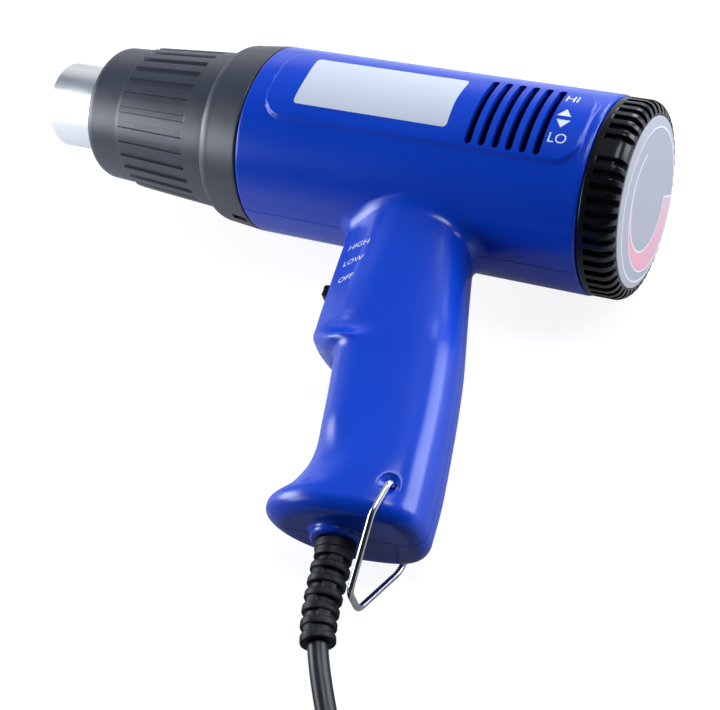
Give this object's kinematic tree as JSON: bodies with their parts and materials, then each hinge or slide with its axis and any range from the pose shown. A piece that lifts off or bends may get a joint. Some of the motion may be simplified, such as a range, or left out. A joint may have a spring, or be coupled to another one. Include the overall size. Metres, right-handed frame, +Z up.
{
  "type": "hot air tool",
  "caption": "Pistol-grip hot air tool lying on its side: two-part housing, steel outlet tube in a grooved guard, ribbed heat dial, slide switch, wire bail and a corded plug.",
  "frame": {"origin": "centre of the tool's box on the table that it lies on, without the cord and plug", "axes": "+X from the nozzle towards the dial along the barrel, +Y from the handle towards the barrel, +Z up from the table"},
  "size_m": [0.2884, 0.4097, 0.0763],
  "materials": {
    "housing": "glossy blue moulded plastic",
    "guard": "satin dark grey heat-resistant plastic",
    "black_plastic": "semi-gloss black plastic",
    "face": "smooth printed light grey disc",
    "bright_steel": "bright steel",
    "screw": "zinc-plated steel",
    "nichrome": "dull resistance wire",
    "mica": "pale mica and ceramic",
    "fan": "dark moulded plastic",
    "board": "green circuit board",
    "cord_rubber": "smooth black flexible sheath",
    "blade": "plain plug metal"
  },
  "bodies": {
    "tool": {"housing_left": "housing", "housing_right": "housing", "housing_screw_1": "screw", "housing_screw_2": "screw", "housing_screw_3": "screw", "housing_screw_4": "screw", "housing_screw_5": "screw", "nozzle_tube": "bright_steel", "nozzle_guard": "guard", "guard_collar": "guard", "heater_liner": "mica", "heater_former": "mica", "heating_coil": "nichrome", "thermal_fuse": "screw", "heater_base": "mica", "motor": "screw", "motor_mount": "black_plastic", "potentiometer": "screw", "control_board": "board", "switch_body": "black_plastic", "strain_relief": "cord_rubber", "cord_tail": "cord_rubber", "cord_clamp": "black_plastic", "clamp_screw_1": "screw", "clamp_screw_2": "screw", "power_cord": "cord_rubber", "cord_coil": "cord_rubber", "cord_tie": "black_plastic", "plug_body": "cord_rubber", "plug_blade_1": "blade", "plug_blade_2": "blade", "plug_ground_pin": "blade"},
    "dial": {"temperature_dial": "black_plastic", "dial_face": "face", "pot_shaft": "bright_steel"},
    "switch": {"switch_slider": "black_plastic"},
    "bail": {"hang_bail": "bright_steel"},
    "fan": {"fan_impeller": "fan", "motor_shaft": "bright_steel"}
  },
  "joints": [
    {"name": "dial_turn", "type": "hinge", "parent": "tool", "child": "dial", "pos_m": [0.12, 0.08033, 0.03813], "axis": [1, 0, 0], "range_deg": [-270, 0]},
    {"name": "switch_slide", "type": "slide", "parent": "tool", "child": "switch", "axis": [-0.1511, 0.9822, 0.1119], "range_m": [0, 0.0156]},
    {"name": "bail_swing", "type": "hinge", "parent": "tool", "child": "bail", "pos_m": [0.09217, -0.06286, 0.02182], "axis": [0, -0.1132, 0.9936], "range_deg": [-4, 170]},
    {"name": "fan_spin", "type": "hinge", "parent": "tool", "child": "fan", "pos_m": [0, 0.08033, 0.03813], "axis": [1, 0, 0], "continuous": true}
  ]
}
